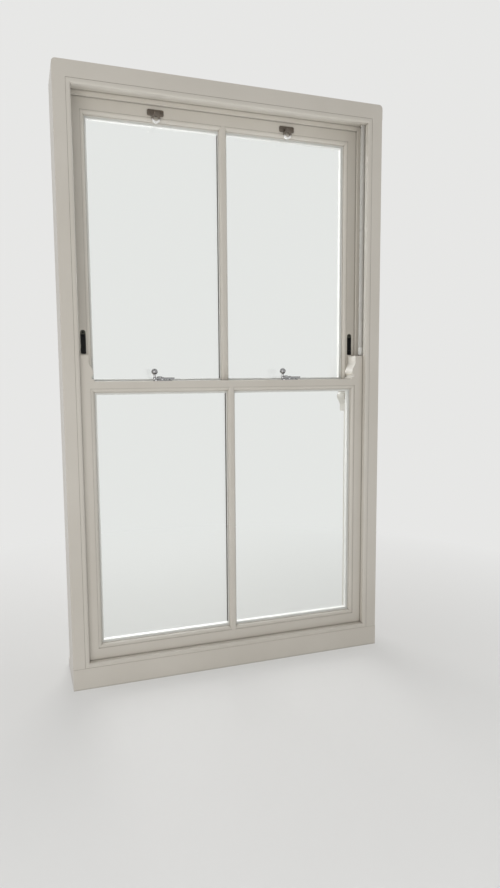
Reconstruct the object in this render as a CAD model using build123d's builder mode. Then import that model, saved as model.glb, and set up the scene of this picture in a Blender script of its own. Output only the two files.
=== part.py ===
from build123d import *
import os
from math import ceil, cos, radians, sin, tan

# A vertical sliding sash window in its frame: two sashes of two lights each, on spiral balances.
# X runs to the right as seen from the room, Y outwards through the window, Z up.
# The origin is the middle of the frame's underside.

os.makedirs("parts", exist_ok=True)

# Frame, overall and by its members
FRAME_WIDTH = 1034.0
FRAME_HEIGHT = 1818.0
JAMB_THICKNESS = 36.0
HEAD_THICKNESS = 46.0
BOARD_HEIGHT = 66.0
SILL_HEIGHT = 48.0
SILL_SLOPE = 7.0
SILL_PROJECTION = 45.0
FRAME_CORNER_RADIUS = 12.0
FRAME_ARRIS = 2.0
QUIRK = 1.0

# Layers of the frame, from the room outwards
STAFF_BEAD_DEPTH = 20.0
PARTING_BEAD_THICKNESS = 8.0
OUTER_LINING_DEPTH = 20.0
SASH_THICKNESS = 52.0
SASH_CLEARANCE = 1.5
BEAD_PROJECTION = 14.0
BEAD_ROUND = 6.0
BEAD_HOUSING = 8.0

# Drip groove under the sill's nose
DRIP_WIDTH = 6.0
DRIP_FROM_NOSE = 14.0

# Sash members: faces seen from the room, without their moulding
STILE_FACE = 41.8
TOP_RAIL_FACE = 46.5
BOTTOM_RAIL_FACE = 65.0
MEETING_FACE = 20.6
SASH_SIDE_GAP = 1.8
SASH_HEAD_GAP = 2.0
MEETING_TOP_Z = 933.0
MEETING_SPLAY = 5.0
MEETING_GAP = 1.0
MEETING_END_GAP = 2.0
TENON_THICKNESS = 14.0
TENON_LENGTH = 20.0
TENON_SHOULDER = 3.0

# Ovolo moulding worked on the room side of each sash member
MOULD_WIDTH = 13.0
MOULD_DEPTH = 14.0
MOULD_STEP = 2.0
MOULD_QUIRK = 1.2
MOULD_LIP = 1.8

# Sealed glass unit, its outside glazing bead and the applied glazing bars
PANE = 4.0
GLASS_CAVITY = 16.0
GLASS_EDGE_GAP = 2.5
SPACER_WIDTH = 17.0
GLAZING_BEAD_LIP = 2.0
GLAZING_BEAD_FACE = 3.0
BAR_WIDTH = 25.0
BAR_NOSE = 8.0
BAR_SET_BACK = 0.5
BAR_LIP = 1.2
OUTER_BAR_DEPTH = 12.0
OUTER_BAR_NOSE = 8.0
DUPLEX_WIDTH = 20.0

# Horns: the stiles run past the meeting rails and end in an ogee
HORN_HEIGHT = 78.0
HORN_NIB_DROP = 1.0
HORN_NIB_HEIGHT = 6.0
HORN_HOLLOW = 7.5
HORN_HOLLOW_HEIGHT = 18.0
HORN_BELLY_DROP = 2.6
HORN_BELLY_HEIGHT = 28.0
HORN_NECK_HEIGHT = 55.0
HORN_NECK_WIDTH = 39.2

# Spiral balances: tubes in the channels, twisted rods fixed to the sashes, and bushes that the rods turn
GROOVE_WIDTH = 19.0
GROOVE_DEPTH = 18.5
TUBE_DIAMETER = 16.0
TUBE_WALL = 1.0
TUBE_HEAD_GAP = 6.0
TUBE_PLUG = 18.0
TUBE_SEAT_GAP = 0.2
ROD_WIDTH = 6.5
ROD_THICKNESS = 1.6
ROD_PITCH = 100.0
ROD_STEPS = 12
ROD_ENGAGEMENT = 25.0
ROD_END_GAP = 3.0
BUSH_LENGTH = 24.0
BUSH_OVER_HORN = 4.7
BUSH_SPIGOT = 10.0
BUSH_SLOT_CLEARANCE = 0.35
BUSH_FIT = 0.08
BUSH_END_GAP = 0.3
BUSH_CHAMFER = 1.5
FOOT_THICKNESS = 2.5
FOOT_WIDTH = 14.0
FOOT_LENGTH = 30.0
LOWER_FOOT_DROP = 2.5
UPPER_FOOT_RISE = 24.0

# Fasteners on the meeting rails
FITTING_X = 214.0
FASTENER_LENGTH = 58.0
FASTENER_WIDTH = 20.0
FASTENER_PLATE = 3.0
FASTENER_SET_BACK = 36.5
FASTENER_BOSS_HEIGHT = 2.0
FASTENER_PIN_RADIUS = 3.0
PIN_CLEARANCE = 0.05
ARM_LIFT = 0.3
ARM_THICKNESS = 5.2
ARM_HUB_RADIUS = 7.5
ARM_NOSE_LENGTH = 34.0
ARM_NOSE_RADIUS = 4.5
KNOB_OFFSET = 24.5
KNOB_FOOT_RADIUS = 5.5
KNOB_STEM_RADIUS = 3.2
KNOB_RADIUS = 9.8
KNOB_HEIGHT = 28.5
KEEP_PLATE = 2.5
KEEP_WALL = 3.0
KEEP_CLEARANCE = 0.6
KEEP_TAIL = 15.0
KEEP_SET_BACK = 2.0
KEEP_DEPTH = 12.0

# Pole eyes on the upper sash's top rail
EYE_PLATE_LENGTH = 50.0
EYE_PLATE_HEIGHT = 18.0
EYE_PLATE_THICKNESS = 2.5
EYE_PLATE_RISE = 13.5
EYE_RING_RADIUS = 13.5
EYE_HOLE_RADIUS = 7.2
EYE_RING_THICKNESS = 6.0
EYE_STAND_OFF = 5.0
EYE_DROP = 18.5

# Travel restrictors let into the upper sash's stiles
RESTRICTOR_INSET = 31.2
RESTRICTOR_RISE = 119.0
RESTRICTOR_WIDTH = 16.0
RESTRICTOR_HEIGHT = 72.0
RESTRICTOR_PLATE = 2.5
RESTRICTOR_FOOT_RADIUS = 2.5
RESTRICTOR_BOX_WIDTH = 13.0
RESTRICTOR_BOX_HEIGHT = 47.0
RESTRICTOR_BOX_DEPTH = 13.5
RESTRICTOR_WALL = 1.5
TONGUE_CLEARANCE = 0.5
TONGUE_LENGTH = 37.0
TONGUE_PIVOT_DEPTH = 5.5
TONGUE_THICKNESS = 8.0
TONGUE_PIN_RADIUS = 1.5

# Planes through the frame, worked out from the room face outwards
CHANNEL = SASH_THICKNESS + 2 * SASH_CLEARANCE
FRAME_DEPTH = STAFF_BEAD_DEPTH + 2 * CHANNEL + PARTING_BEAD_THICKNESS + OUTER_LINING_DEPTH
FACE_Y = -(FRAME_DEPTH + SILL_PROJECTION) / 2
NOSE_Y = -FACE_Y
BEAD_BACK_Y = FACE_Y + STAFF_BEAD_DEPTH
LOWER_Y = BEAD_BACK_Y + SASH_CLEARANCE
PARTING_Y = BEAD_BACK_Y + CHANNEL
UPPER_Y = PARTING_Y + PARTING_BEAD_THICKNESS + SASH_CLEARANCE
LINING_Y = PARTING_Y + PARTING_BEAD_THICKNESS + CHANNEL
BACK_Y = LINING_Y + OUTER_LINING_DEPTH

# Half widths and heights
OUTER_X = FRAME_WIDTH / 2
JAMB_X = OUTER_X - JAMB_THICKNESS
BEAD_X = JAMB_X - BEAD_PROJECTION
SOFFIT_Z = FRAME_HEIGHT - HEAD_THICKNESS
BEAD_HEAD_Z = SOFFIT_Z - BEAD_PROJECTION
SASH_X = JAMB_X - SASH_SIDE_GAP
QUIRK_X = SASH_X - STILE_FACE
UPPER_TOP_Z = SOFFIT_Z - SASH_HEAD_GAP
UPPER_QUIRK_Z = UPPER_TOP_Z - TOP_RAIL_FACE
LOWER_QUIRK_Z = MEETING_TOP_Z - MEETING_FACE
MEETING_HEIGHT = MEETING_FACE + MOULD_WIDTH
MEETING_FOOT_Z = MEETING_TOP_Z - MEETING_HEIGHT
LEDGE_Z = MEETING_TOP_Z - MOULD_WIDTH
BEADS_GAP_Y = LOWER_Y + SASH_THICKNESS
MEETING_X = BEAD_X - MEETING_END_GAP

# Glass unit, measured from a sash's room face
GLASS_FRONT = MOULD_DEPTH
GLASS_BACK = GLASS_FRONT + 2 * PANE + GLASS_CAVITY

# Balances: the closed sashes leave room for the bushes above the lower horns, and the tubes set the travel
TUBE_X = JAMB_X - TUBE_DIAMETER / 2 - TUBE_SEAT_GAP
TUBE_TOP_Z = SOFFIT_Z - TUBE_HEAD_GAP
BUSH_FOOT_Z = MEETING_TOP_Z + HORN_HEIGHT + BUSH_OVER_HORN
TUBE_FOOT_Z = BUSH_FOOT_Z + BUSH_LENGTH + BUSH_END_GAP
TUBE_LENGTH = TUBE_TOP_Z - TUBE_FOOT_Z
TUBE_BORE = TUBE_DIAMETER / 2 - TUBE_WALL
TRAVEL = TUBE_LENGTH - TUBE_PLUG - ROD_ENGAGEMENT - ROD_END_GAP
LOWER_BALANCE_Y = LOWER_Y + SASH_THICKNESS / 2
UPPER_BALANCE_Y = UPPER_Y + SASH_THICKNESS / 2
LOWER_SIGHT_Z = SILL_HEIGHT + SASH_CLEARANCE + BOTTOM_RAIL_FACE
LOWER_ROD_TOP_Z = TUBE_FOOT_Z + ROD_ENGAGEMENT
UPPER_ROD_TOP_Z = LOWER_ROD_TOP_Z + TRAVEL
LOWER_FOOT_Z = LOWER_SIGHT_Z - LOWER_FOOT_DROP
UPPER_FOOT_Z = MEETING_FOOT_Z + UPPER_FOOT_RISE
GROOVE_FLOOR_X = SASH_X - GROOVE_DEPTH

# Fittings
EYE_PLATE_Z = UPPER_QUIRK_Z + EYE_PLATE_RISE
RESTRICTOR_X = SASH_X - RESTRICTOR_INSET
RESTRICTOR_Z = MEETING_TOP_Z + RESTRICTOR_RISE

RIGHT = Vector(1, 0, 0)
LEFT = Vector(-1, 0, 0)
OUTWARD = Vector(0, 1, 0)
UP = Vector(0, 0, 1)
DOWN = Vector(0, 0, -1)


def save(piece, name):
    """Label a finished piece and write its file."""
    piece.part.label = name
    export_step(piece.part, f"parts/{name}.step")


def save_pair(piece, name):
    """Write a right-hand piece and its mirror image on the left."""
    save(piece, f"{name}_right")
    with BuildPart() as other:
        mirror(piece.part, about=Plane.YZ)
    save(other, f"{name}_left")


def sill_top(y):
    """Height of the sill's weathered top at a depth through the frame."""
    return SILL_HEIGHT - (y - BEAD_BACK_Y) * tan(radians(SILL_SLOPE))


def outline(*points):
    """A straight-sided face in the sketch that is being drawn."""
    Polygon(*points, align=None)


def across(section, x0, x1):
    """A piece whose section is drawn in Y and Z and runs from x0 to x1."""
    with BuildPart() as piece:
        with BuildSketch(Plane.YZ.offset(x0)):
            add(section.sketch)
        extrude(amount=x1 - x0)
    return piece.part


def around(x, z0, z1, y):
    """Corner, inward direction and length of the four sides of an opening, run left, top, right, bottom."""
    return {
        "left": (Vector(-x, y, z0), RIGHT, z1 - z0),
        "head": (Vector(-x, y, z1), DOWN, 2 * x),
        "right": (Vector(x, y, z1), LEFT, z1 - z0),
        "bottom": (Vector(x, y, z0), UP, 2 * x),
    }


def strip(side, section, foot_mitred=True):
    """One side of an opening's trim. Its section is drawn inward and outward, and its ends are mitred."""
    corner, inward, length = side
    run = Plane(origin=corner, x_dir=inward, z_dir=inward.cross(OUTWARD))
    far = run.origin + run.z_dir * length
    with BuildPart() as piece:
        with BuildSketch(run):
            add(section.sketch)
        extrude(amount=length)
        split(bisect_by=Plane(origin=run.origin, z_dir=run.z_dir - run.x_dir))
        if foot_mitred:
            split(bisect_by=Plane(origin=far, z_dir=run.z_dir + run.x_dir), keep=Keep.BOTTOM)
    return piece.part


def without(piece, *others):
    """A finished piece less the pieces that are let into it."""
    with BuildPart() as cut:
        add(piece)
        for other in others:
            add(other, mode=Mode.SUBTRACT)
    return cut


def group(*pieces):
    """Like pieces kept together, each still its own solid."""
    with BuildPart() as together:
        for piece in pieces:
            add(piece)
    return together


# Frame: sill and bottom board
with BuildSketch() as sill_section:
    outline(
        (BEAD_BACK_Y, 0),
        (NOSE_Y, 0),
        (NOSE_Y, sill_top(NOSE_Y)),
        (BEAD_BACK_Y, SILL_HEIGHT),
    )
    with Locations((NOSE_Y - DRIP_FROM_NOSE, 0)):
        Circle(DRIP_WIDTH / 2, mode=Mode.SUBTRACT)


with BuildPart() as sill:
    add(across(sill_section, -OUTER_X, OUTER_X))
    nose_edge = sill.edges().filter_by(Axis.X).group_by(Axis.Y)[-1].sort_by(Axis.Z)[-1]
    fillet(nose_edge, FRAME_ARRIS)
save(sill, "sill")

with BuildPart() as bottom_board:
    with BuildSketch(Plane.YZ.offset(-OUTER_X)):
        outline(
            (FACE_Y, 0),
            (BEAD_BACK_Y, 0),
            (BEAD_BACK_Y, BOARD_HEIGHT),
            (FACE_Y + QUIRK, BOARD_HEIGHT),
            (FACE_Y, BOARD_HEIGHT - QUIRK),
        )
    extrude(amount=FRAME_WIDTH)
save(bottom_board, "bottom_board")


# Frame: jambs, with their parting bead grooves
with BuildSketch() as jamb_section:
    outline(
        (FACE_Y, BOARD_HEIGHT),
        (BEAD_BACK_Y, BOARD_HEIGHT),
        (BEAD_BACK_Y, SILL_HEIGHT),
        (LINING_Y, sill_top(LINING_Y)),
        (LINING_Y, SOFFIT_Z),
        (FACE_Y, SOFFIT_Z),
    )


with BuildSketch() as parting_bead_section:
    outline(
        (PARTING_Y, sill_top(PARTING_Y)),
        (PARTING_Y + PARTING_BEAD_THICKNESS, sill_top(PARTING_Y + PARTING_BEAD_THICKNESS)),
        (PARTING_Y + PARTING_BEAD_THICKNESS, SOFFIT_Z),
        (PARTING_Y, SOFFIT_Z),
    )


with BuildPart() as jamb:
    add(across(jamb_section, JAMB_X, OUTER_X))
    fillet(jamb.edges().filter_by(Axis.Z).group_by(Axis.Y)[0].sort_by(Axis.X)[-1], FRAME_ARRIS)
    add(across(parting_bead_section, JAMB_X, JAMB_X + BEAD_HOUSING), mode=Mode.SUBTRACT)
save_pair(jamb, "jamb")

# Frame: head
with BuildPart() as head:
    with BuildSketch(Plane.XY.offset(SOFFIT_Z)):
        with Locations((0, (FACE_Y + LINING_Y) / 2)):
            Rectangle(FRAME_WIDTH, LINING_Y - FACE_Y)
    extrude(amount=HEAD_THICKNESS)
    fillet(head.edges().filter_by(Axis.Y).group_by(Axis.Z)[-1], FRAME_CORNER_RADIUS)
    with BuildSketch(Plane.XY.offset(SOFFIT_Z)):
        with Locations((0, PARTING_Y + PARTING_BEAD_THICKNESS / 2)):
            Rectangle(2 * BEAD_X, PARTING_BEAD_THICKNESS)
    extrude(amount=BEAD_HOUSING, mode=Mode.SUBTRACT)
save(head, "head")


# Frame: outer linings, which stop the upper sash on the outside
with BuildSketch() as lining_section:
    outline(
        (LINING_Y, sill_top(LINING_Y)),
        (BACK_Y, sill_top(BACK_Y)),
        (BACK_Y, FRAME_HEIGHT),
        (LINING_Y, FRAME_HEIGHT),
    )


with BuildPart() as outer_lining:
    add(across(lining_section, BEAD_X, OUTER_X))
    top_corner = outer_lining.edges().filter_by(Axis.Y).group_by(Axis.Z)[-1].sort_by(Axis.X)[-1]
    fillet(top_corner, FRAME_CORNER_RADIUS)
save_pair(outer_lining, "outer_lining")

with BuildPart() as outer_lining_head:
    with BuildSketch(Plane.XY.offset(BEAD_HEAD_Z)):
        with Locations((0, (LINING_Y + BACK_Y) / 2)):
            Rectangle(2 * BEAD_X, OUTER_LINING_DEPTH)
    extrude(amount=FRAME_HEIGHT - BEAD_HEAD_Z)
save(outer_lining_head, "outer_lining_head")


# Frame: staff beads, mitred round the opening on the room side
with BuildSketch() as staff_bead_section:
    with BuildLine():
        Polyline(
            (QUIRK, 0),
            (0, QUIRK),
            (0, STAFF_BEAD_DEPTH),
            (BEAD_PROJECTION, STAFF_BEAD_DEPTH),
            (BEAD_PROJECTION, BEAD_ROUND),
        )
        RadiusArc((BEAD_PROJECTION, BEAD_ROUND), (BEAD_PROJECTION - BEAD_ROUND, 0), BEAD_ROUND)
        Line((BEAD_PROJECTION - BEAD_ROUND, 0), (QUIRK, 0))
    make_face()


for place, side in around(JAMB_X, BOARD_HEIGHT, SOFFIT_Z, FACE_Y).items():
    with BuildPart() as staff_bead:
        add(strip(side, staff_bead_section))
    save(staff_bead, f"staff_bead_{place}")


# Frame: parting beads, let into the jambs and the head
with BuildPart() as parting_bead:
    add(across(parting_bead_section, BEAD_X, JAMB_X + BEAD_HOUSING))
    fillet(parting_bead.edges().filter_by(Axis.Z).group_by(Axis.X)[0], QUIRK)
save_pair(parting_bead, "parting_bead")

with BuildPart() as parting_bead_head:
    with BuildSketch(Plane.XY.offset(BEAD_HEAD_Z)):
        with Locations((0, PARTING_Y + PARTING_BEAD_THICKNESS / 2)):
            Rectangle(2 * BEAD_X, PARTING_BEAD_THICKNESS)
    extrude(amount=SOFFIT_Z + BEAD_HOUSING - BEAD_HEAD_Z)
    fillet(parting_bead_head.edges().filter_by(Axis.X).group_by(Axis.Z)[0], QUIRK)
save(parting_bead_head, "parting_bead_head")


# Sash mouldings and glazing beads
# The ovolo is drawn from the quirk line inward and from the sash's room face outward
ovolo_width = MOULD_WIDTH - MOULD_QUIRK - MOULD_LIP
ovolo_depth = MOULD_DEPTH - 2 * MOULD_STEP
with BuildSketch() as moulding_section:
    with BuildLine():
        Line((0, MOULD_DEPTH), (0, MOULD_STEP))
        Line((0, MOULD_STEP), (MOULD_QUIRK, MOULD_STEP))
        EllipticalCenterArc(
            (MOULD_QUIRK, MOULD_STEP + ovolo_depth),
            ovolo_width,
            ovolo_depth,
            start_angle=270,
            arc_size=90,
        )
        Polyline(
            (MOULD_QUIRK + ovolo_width, MOULD_STEP + ovolo_depth),
            (MOULD_WIDTH, MOULD_STEP + ovolo_depth),
            (MOULD_WIDTH, MOULD_DEPTH),
            (0, MOULD_DEPTH),
        )
    make_face()


with BuildSketch() as glazing_bead_section:
    outline(
        (0, GLASS_BACK),
        (MOULD_WIDTH, GLASS_BACK),
        (MOULD_WIDTH, GLASS_BACK + GLAZING_BEAD_LIP),
        (GLAZING_BEAD_FACE, SASH_THICKNESS),
        (0, SASH_THICKNESS),
    )


# Horns, drawn on the right-hand stile from the meeting rail's edge
def horn(rail_z, way, face_y):
    """An ogee horn that runs up (way 1) or down (way -1) from the rail's edge."""
    nib_x = QUIRK_X - MOULD_WIDTH + HORN_NIB_DROP
    hollow_x = nib_x + HORN_HOLLOW
    belly_x = nib_x + HORN_BELLY_DROP
    shoulder_x = belly_x + HORN_NIB_DROP
    neck_x = SASH_X - HORN_NECK_WIDTH
    turn_x = shoulder_x + (neck_x - shoulder_x) / 4
    turn_height = (HORN_BELLY_HEIGHT + HORN_NECK_HEIGHT) / 2 - HORN_NIB_HEIGHT / 2
    hollow_middle = (HORN_NIB_HEIGHT + HORN_HOLLOW_HEIGHT) / 2

    def at(x, height):
        return (x, rail_z + way * height)

    with BuildPart() as piece:
        with BuildSketch(Plane.XZ.offset(-face_y)):
            with BuildLine():
                Polyline(at(nib_x, HORN_NIB_HEIGHT), at(nib_x, 0), at(SASH_X, 0), at(SASH_X, HORN_HEIGHT))
                Polyline(at(SASH_X, HORN_HEIGHT), at(neck_x, HORN_HEIGHT), at(neck_x, HORN_NECK_HEIGHT))
                ThreePointArc(
                    at(nib_x, HORN_NIB_HEIGHT),
                    at(hollow_x, hollow_middle),
                    at(shoulder_x, HORN_HOLLOW_HEIGHT),
                )
                belly = ThreePointArc(
                    at(shoulder_x, HORN_HOLLOW_HEIGHT),
                    at(belly_x, HORN_BELLY_HEIGHT),
                    at(turn_x, turn_height),
                )
                TangentArc(at(turn_x, turn_height), at(neck_x, HORN_NECK_HEIGHT), tangent=belly % 1)
            make_face()
        extrude(amount=-SASH_THICKNESS)
    return piece.part


# Mortises and tenons, on the right-hand stile
def tenon(z0, z1, face_y):
    with BuildPart() as piece:
        with BuildSketch(Plane.YZ.offset(QUIRK_X)):
            with Locations((face_y + SASH_THICKNESS / 2, (z0 + z1) / 2)):
                Rectangle(TENON_THICKNESS, z1 - z0)
        extrude(amount=TENON_LENGTH)
    return piece.part


def both_ends(piece):
    """A piece on the right and its mirror image."""
    with BuildPart() as pair:
        add(piece)
        mirror(about=Plane.YZ)
    return pair.part


def balance_groove(face_y, z0, z1):
    with BuildPart() as piece:
        with BuildSketch(Plane.XY.offset(z0)):
            with Locations((SASH_X - GROOVE_DEPTH / 2, face_y + SASH_THICKNESS / 2)):
                Rectangle(GROOVE_DEPTH, GROOVE_WIDTH)
        extrude(amount=z1 - z0)
    return piece.part


def stile_body(face_y, z0, z1):
    with BuildPart() as piece:
        with BuildSketch(Plane.XY.offset(z0)):
            with Locations(((SASH_X + QUIRK_X) / 2, face_y + SASH_THICKNESS / 2)):
                Rectangle(STILE_FACE, SASH_THICKNESS)
        extrude(amount=z1 - z0)
    return piece.part


def on_sill():
    """The plane that the lower sash's underside is bevelled to."""
    slope = radians(SILL_SLOPE)
    return Plane(origin=(0, BEAD_BACK_Y, SILL_HEIGHT + SASH_CLEARANCE), z_dir=(0, sin(slope), cos(slope)))


# Restrictors: the recess of one case
def restrictor_body():
    """Everything that the case fills, on the right-hand stile."""
    foot_z = RESTRICTOR_Z - RESTRICTOR_HEIGHT / 2
    with BuildPart() as piece:
        with BuildSketch(Plane(origin=(RESTRICTOR_X, UPPER_Y, foot_z), x_dir=RIGHT, z_dir=-OUTWARD)) as face:
            straight = RESTRICTOR_HEIGHT - RESTRICTOR_WIDTH / 2
            Rectangle(RESTRICTOR_WIDTH, straight, align=(Align.CENTER, Align.MIN))
            fillet(face.vertices().group_by(Axis.Y)[0], RESTRICTOR_FOOT_RADIUS)
            with Locations((0, straight)):
                Circle(RESTRICTOR_WIDTH / 2)
        extrude(amount=-RESTRICTOR_PLATE)
        with BuildSketch(Plane(origin=(RESTRICTOR_X, UPPER_Y, RESTRICTOR_Z), x_dir=RIGHT, z_dir=-OUTWARD)):
            Rectangle(RESTRICTOR_BOX_WIDTH, RESTRICTOR_BOX_HEIGHT)
        extrude(amount=-RESTRICTOR_BOX_DEPTH)
    return piece.part


# Lower sash: stiles, rails and their mouldings
lower_opening = around(QUIRK_X, LOWER_SIGHT_Z, LOWER_QUIRK_Z, LOWER_Y)
lower_trim = {place: strip(side, moulding_section) for place, side in lower_opening.items()}
lower_beads = {place: strip(side, glazing_bead_section) for place, side in lower_opening.items()}
lower_tenons = {
    "bottom": tenon(SILL_HEIGHT + 4 * TENON_SHOULDER, LOWER_SIGHT_Z - 2 * TENON_SHOULDER, LOWER_Y),
    "meeting": tenon(LOWER_QUIRK_Z + TENON_SHOULDER, MEETING_TOP_Z - TENON_SHOULDER, LOWER_Y),
}

with BuildPart() as lower_stile:
    add(stile_body(LOWER_Y, 0, MEETING_TOP_Z))
    add(horn(MEETING_TOP_Z, 1, LOWER_Y))
    split(bisect_by=on_sill())
    add(lower_trim["right"])
    add(balance_groove(LOWER_Y, 0, MEETING_TOP_Z + HORN_HEIGHT), mode=Mode.SUBTRACT)
    for piece in lower_tenons.values():
        add(piece, mode=Mode.SUBTRACT)
save_pair(lower_stile, "lower_stile")

with BuildPart() as lower_bottom_rail:
    with BuildSketch(Plane.YZ.offset(-QUIRK_X)):
        with Locations((LOWER_Y + SASH_THICKNESS / 2, LOWER_SIGHT_Z / 2)):
            Rectangle(SASH_THICKNESS, LOWER_SIGHT_Z)
    extrude(amount=2 * QUIRK_X)
    split(bisect_by=on_sill())
    add(lower_trim["bottom"])
    add(both_ends(lower_tenons["bottom"]))
save(lower_bottom_rail, "lower_bottom_rail")


def splay_y(z):
    """Middle of the gap between the two meeting rails, which leans outwards as it rises."""
    middle = (BEADS_GAP_Y + UPPER_Y) / 2
    return middle + (z - MEETING_TOP_Z + MEETING_HEIGHT / 2) * MEETING_SPLAY / MEETING_HEIGHT


with BuildPart() as lower_meeting_rail:
    with BuildSketch(Plane.YZ.offset(-QUIRK_X)):
        with Locations((LOWER_Y + SASH_THICKNESS / 2, LOWER_QUIRK_Z + MEETING_FACE / 2)):
            Rectangle(SASH_THICKNESS, MEETING_FACE)
    extrude(amount=2 * QUIRK_X)
    with BuildSketch(Plane.YZ.offset(-MEETING_X)):
        outline(
            (BEADS_GAP_Y, LOWER_QUIRK_Z),
            (splay_y(LOWER_QUIRK_Z) - MEETING_GAP / 2, LOWER_QUIRK_Z),
            (splay_y(MEETING_TOP_Z) - MEETING_GAP / 2, MEETING_TOP_Z),
            (BEADS_GAP_Y, MEETING_TOP_Z),
        )
    extrude(amount=2 * MEETING_X)
    add(lower_trim["head"])
    add(both_ends(lower_tenons["meeting"]))
save(lower_meeting_rail, "lower_meeting_rail")

# Upper sash: its meeting rail has a plain ledge, so the moulding runs round three sides only
upper_opening = around(QUIRK_X, LEDGE_Z, UPPER_QUIRK_Z, UPPER_Y)
upper_sides = around(QUIRK_X, MEETING_TOP_Z, UPPER_QUIRK_Z, UPPER_Y)
upper_trim_head = strip(upper_opening["head"], moulding_section)
upper_trim_right = strip(upper_sides["right"], moulding_section, foot_mitred=False)
upper_beads = {place: strip(side, glazing_bead_section) for place, side in upper_opening.items()}
upper_tenons = {
    "top": tenon(UPPER_QUIRK_Z + 2 * TENON_SHOULDER, UPPER_TOP_Z - 2 * TENON_SHOULDER, UPPER_Y),
    "meeting": tenon(MEETING_FOOT_Z + TENON_SHOULDER, LEDGE_Z, UPPER_Y),
}

with BuildPart() as upper_stile:
    add(stile_body(UPPER_Y, MEETING_FOOT_Z, UPPER_TOP_Z))
    add(horn(MEETING_FOOT_Z, -1, UPPER_Y))
    add(upper_trim_right)
    add(balance_groove(UPPER_Y, MEETING_FOOT_Z - HORN_HEIGHT, UPPER_TOP_Z), mode=Mode.SUBTRACT)
    for piece in upper_tenons.values():
        add(piece, mode=Mode.SUBTRACT)
    add(restrictor_body(), mode=Mode.SUBTRACT)
save_pair(upper_stile, "upper_stile")

with BuildPart() as upper_top_rail:
    with BuildSketch(Plane.YZ.offset(-QUIRK_X)):
        with Locations((UPPER_Y + SASH_THICKNESS / 2, UPPER_QUIRK_Z + TOP_RAIL_FACE / 2)):
            Rectangle(SASH_THICKNESS, TOP_RAIL_FACE)
    extrude(amount=2 * QUIRK_X)
    add(upper_trim_head)
    add(both_ends(upper_tenons["top"]))
save(upper_top_rail, "upper_top_rail")


with BuildPart() as upper_meeting_rail:
    with BuildSketch(Plane.YZ.offset(-QUIRK_X)):
        outline(
            (UPPER_Y, MEETING_FOOT_Z),
            (UPPER_Y + SASH_THICKNESS, MEETING_FOOT_Z),
            (UPPER_Y + SASH_THICKNESS, LEDGE_Z),
            (UPPER_Y + GLASS_FRONT, LEDGE_Z),
            (UPPER_Y + GLASS_FRONT, MEETING_TOP_Z),
            (UPPER_Y, MEETING_TOP_Z),
        )
    extrude(amount=2 * QUIRK_X)
    with BuildSketch(Plane.YZ.offset(-MEETING_X)):
        outline(
            (UPPER_Y, MEETING_FOOT_Z),
            (splay_y(MEETING_FOOT_Z) + MEETING_GAP / 2, MEETING_FOOT_Z),
            (splay_y(MEETING_TOP_Z) + MEETING_GAP / 2, MEETING_TOP_Z),
            (UPPER_Y, MEETING_TOP_Z),
        )
    extrude(amount=2 * MEETING_X)
    add(both_ends(upper_tenons["meeting"]))
save(upper_meeting_rail, "upper_meeting_rail")


# Glazing of either sash
# The bar has an ovolo on both sides of its nose, and stands against the glass
nose = BAR_NOSE / 2
bar_ovolo_width = BAR_WIDTH / 2 - BAR_LIP - nose
bar_ovolo_depth = MOULD_DEPTH - MOULD_STEP - BAR_SET_BACK
with BuildSketch() as inner_bar_section:
    with BuildLine():
        Line((0, BAR_SET_BACK), (nose, BAR_SET_BACK))
        EllipticalCenterArc(
            (nose, BAR_SET_BACK + bar_ovolo_depth),
            bar_ovolo_width,
            bar_ovolo_depth,
            start_angle=270,
            arc_size=90,
        )
        Polyline(
            (nose + bar_ovolo_width, BAR_SET_BACK + bar_ovolo_depth),
            (BAR_WIDTH / 2, BAR_SET_BACK + bar_ovolo_depth),
            (BAR_WIDTH / 2, GLASS_FRONT),
            (0, GLASS_FRONT),
            (0, BAR_SET_BACK),
        )
    make_face()
    mirror(about=Plane.YZ)


with BuildSketch() as outer_bar_section:
    outline(
        (-BAR_WIDTH / 2, GLASS_BACK),
        (BAR_WIDTH / 2, GLASS_BACK),
        (BAR_WIDTH / 2, GLASS_BACK + GLAZING_BEAD_LIP),
        (OUTER_BAR_NOSE / 2, GLASS_BACK + OUTER_BAR_DEPTH),
        (-OUTER_BAR_NOSE / 2, GLASS_BACK + OUTER_BAR_DEPTH),
        (-BAR_WIDTH / 2, GLASS_BACK + GLAZING_BEAD_LIP),
    )


def bar(section, face_y, z0, z1):
    with BuildPart() as piece:
        with BuildSketch(Plane(origin=(0, face_y, z0), x_dir=RIGHT, z_dir=UP)):
            add(section.sketch)
        extrude(amount=z1 - z0)
    return piece.part


def glass_unit(face_y, z0, z1):
    """Two panes, apart."""
    width = 2 * (QUIRK_X - GLASS_EDGE_GAP)
    height = z1 - z0 - 2 * GLASS_EDGE_GAP
    with BuildPart() as panes:
        for front in (GLASS_FRONT, GLASS_BACK - PANE):
            with BuildSketch(Plane.XZ.offset(-face_y - front)):
                with Locations((0, (z0 + z1) / 2)):
                    Rectangle(width, height)
            extrude(amount=-PANE)
    return panes


def spacer_frame(face_y, z0, z1):
    """The edge spacer and the duplex spacer behind the glazing bar, as one frame."""
    width = 2 * (QUIRK_X - GLASS_EDGE_GAP)
    height = z1 - z0 - 2 * GLASS_EDGE_GAP
    with BuildPart() as frame:
        with BuildSketch(Plane.XZ.offset(-face_y - GLASS_FRONT - PANE)):
            with Locations((0, (z0 + z1) / 2)):
                Rectangle(width, height)
                Rectangle(width - 2 * SPACER_WIDTH, height - 2 * SPACER_WIDTH, mode=Mode.SUBTRACT)
                Rectangle(DUPLEX_WIDTH, height)
        extrude(amount=-GLASS_CAVITY)
    return frame


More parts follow.
